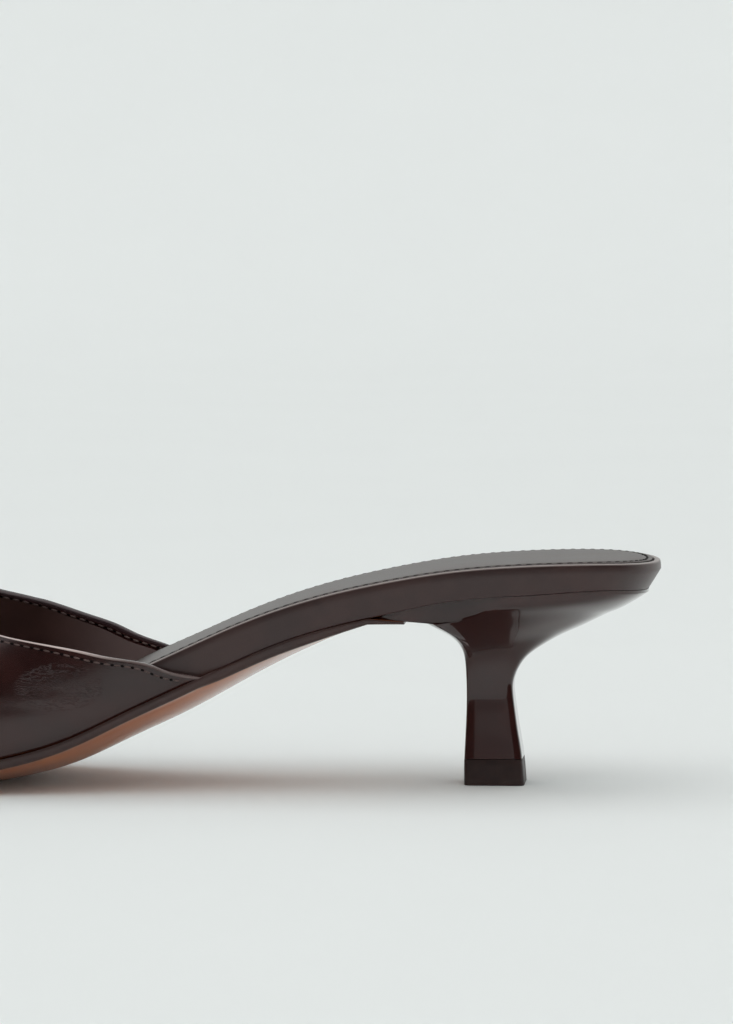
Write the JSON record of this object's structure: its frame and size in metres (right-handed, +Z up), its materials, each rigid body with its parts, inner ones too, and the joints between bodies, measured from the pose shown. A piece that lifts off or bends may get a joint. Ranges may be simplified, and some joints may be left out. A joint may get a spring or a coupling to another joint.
{
  "type": "kitten heel sandal",
  "caption": "Left kitten heel sandal, a backless open-toed mule in dark glossy leather with a thick wrapped footbed, a tan leather sole and a slim heel.",
  "frame": {"origin": "on the floor, under the middle of the heel's top piece", "axes": "+X to the toe, +Y to the outer side of the foot, +Z up"},
  "size_m": [0.248, 0.078, 0.0541],
  "materials": {
    "cover_leather": "satin",
    "sock_leather": "satin",
    "sole_leather": "gloss",
    "vamp_leather": "gloss",
    "heel_finish": "gloss",
    "tip_rubber": "matte"
  },
  "bodies": {
    "root": {"footbed": "cover_leather", "sock": "sock_leather", "outsole": "sole_leather", "upper": "vamp_leather", "heel": "heel_finish", "top_piece": "tip_rubber"}
  },
  "joints": []
}
